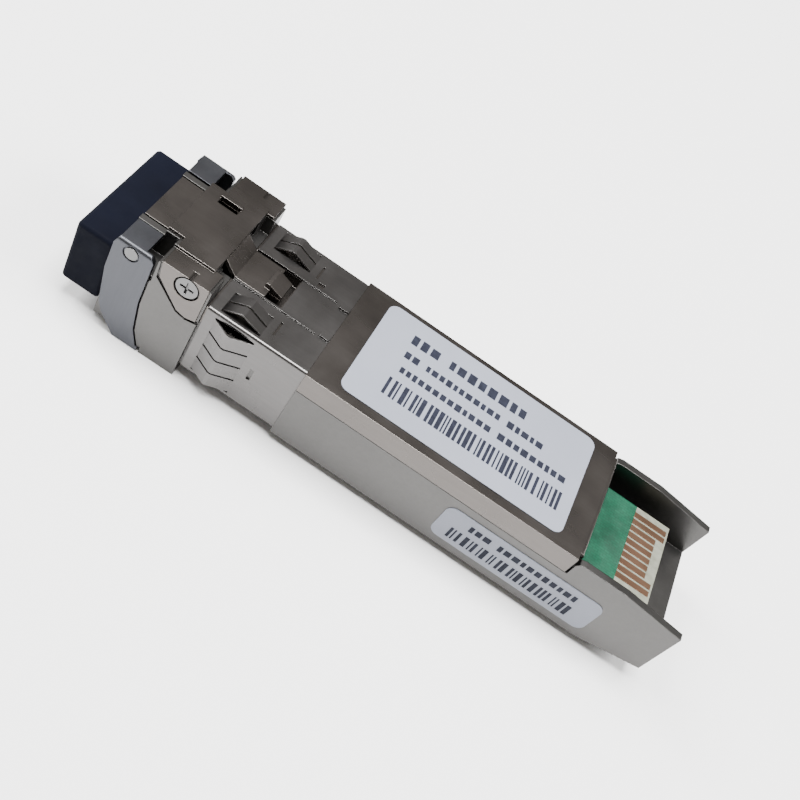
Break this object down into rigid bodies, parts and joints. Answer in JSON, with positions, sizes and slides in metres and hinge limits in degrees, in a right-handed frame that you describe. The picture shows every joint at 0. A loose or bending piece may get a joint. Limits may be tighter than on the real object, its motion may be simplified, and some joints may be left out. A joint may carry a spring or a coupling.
{
  "type": "optical transceiver module",
  "caption": "Pluggable small-form-factor fibre optic transceiver with swing bail, release latch, spring grounding collar, card-edge contacts and a plugged duplex port.",
  "frame": {"origin": "centre of the bounding box, on the plane that the plain side of the nose rests on", "axes": "+X from the dust plug to the card edge, +Z out of the label face, -Y towards the side with the small label"},
  "size_m": [0.0598, 0.0146, 0.0117],
  "materials": {
    "nickel_zinc": "nickel-plated zinc die casting, satin",
    "nickel_cover": "nickel-plated cover, smooth satin",
    "spring_steel": "bright rolled stainless spring sheet",
    "bail_steel": "cool grey plated stamping",
    "steel_pin": "polished steel",
    "dark_rubber": "very dark navy moulded elastomer",
    "label_film": "silver-white label film",
    "board_green": "green solder mask",
    "gold": "gold-plated copper",
    "zirconia": "white zirconia",
    "stainless": "turned stainless steel",
    "flex_amber": "amber polyimide",
    "chip_black": "black moulding compound",
    "pad_grey": "soft grey-blue gap filler",
    "ferrite": "dark ferrite",
    "capacitor_tan": "tan ceramic with tinned ends",
    "resistor_black": "black thick film"
  },
  "bodies": {
    "module_body": {"base_housing": "nickel_zinc", "label_cover": "nickel_cover", "emi_collar": "spring_steel", "nose_shroud": "nickel_cover", "shroud_screws": "steel_pin", "rocker_pin": "steel_pin", "latch_spring": "spring_steel", "optics_clamp": "stainless", "circuit_board": "board_green", "contacts_label_side": "gold", "contacts_plain_side": "gold", "laser_driver_chip": "chip_black", "driver_thermal_pad": "pad_grey", "receiver_amplifier_chip": "chip_black", "controller_chip": "chip_black", "power_regulator_chip": "chip_black", "inductors": "ferrite", "capacitors": "capacitor_tan", "resistors": "resistor_black", "main_label": "label_film", "side_label": "label_film", "transmit_ferrule_sleeve": "zirconia", "transmit_nozzle": "stainless", "transmit_optical_body": "stainless", "transmit_can": "gold", "transmit_flex": "flex_amber", "receive_ferrule_sleeve": "zirconia", "receive_nozzle": "stainless", "receive_optical_body": "stainless", "receive_can": "gold", "receive_flex": "flex_amber"},
    "bail": {"bail": "bail_steel", "bail_cam_axle": "steel_pin"},
    "latch_rocker": {"latch_rocker": "nickel_cover"},
    "dust_plug": {"dust_plug": "dark_rubber"}
  },
  "joints": [
    {"name": "bail_swing", "type": "hinge", "parent": "module_body", "child": "bail", "pos_m": [-0.02475, 0, 0.00985], "axis": [0, 1, 0], "range_deg": [0, 90]},
    {"name": "latch_release", "type": "hinge", "parent": "module_body", "child": "latch_rocker", "pos_m": [-0.0205, 0, 0.01012], "axis": [0, 1, 0], "range_deg": [0, 6], "deforming": ["latch_spring"]},
    {"name": "dust_plug_pull", "type": "slide", "parent": "module_body", "child": "dust_plug", "axis": [-1, 0, 0], "range_m": [0, 0.02]}
  ],
  "couplings": [
    {"joint": "latch_release", "follows": "bail_swing", "ratio": 0.0666}
  ]
}
